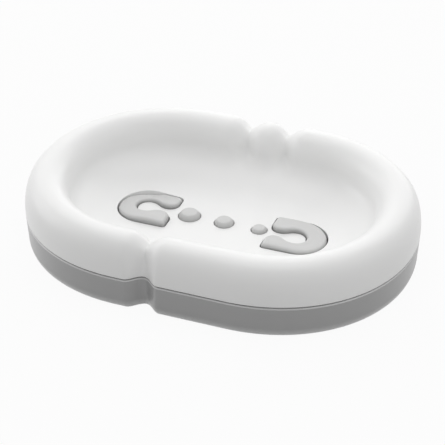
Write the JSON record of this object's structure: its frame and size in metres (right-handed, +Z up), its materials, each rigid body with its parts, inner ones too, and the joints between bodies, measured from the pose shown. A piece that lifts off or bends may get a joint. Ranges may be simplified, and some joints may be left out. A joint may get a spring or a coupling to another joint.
{
  "type": "soap dish",
  "caption": "Oval soap dish with a puffy pinched rim, lifting off a drip tray whose soft horseshoe and dot rests rise through its floor.",
  "frame": {"origin": "on the table under the middle of the dish", "axes": "+X along the length, +Y from the single front groove to the pair of back grooves, +Z up"},
  "size_m": [0.131, 0.0934, 0.0243],
  "materials": {
    "dish_white": "satin white moulding",
    "tray_grey": "satin mid grey moulding",
    "rest_grey": "soft light grey elastomer",
    "foot_grey": "matt dark grey elastomer"
  },
  "bodies": {
    "tray": {"drip_tray": "tray_grey", "left_horseshoe_rest": "rest_grey", "right_horseshoe_rest": "rest_grey", "large_dot_rest": "rest_grey", "medium_dot_rest": "rest_grey", "small_dot_rest": "rest_grey", "front_left_foot": "foot_grey", "front_right_foot": "foot_grey", "back_left_foot": "foot_grey", "back_right_foot": "foot_grey"},
    "dish": {"upper_dish": "dish_white"}
  },
  "joints": [
    {"name": "dish_lift", "type": "slide", "parent": "tray", "child": "dish", "axis": [0, 0, 1], "range_m": [0, 0.04]}
  ]
}
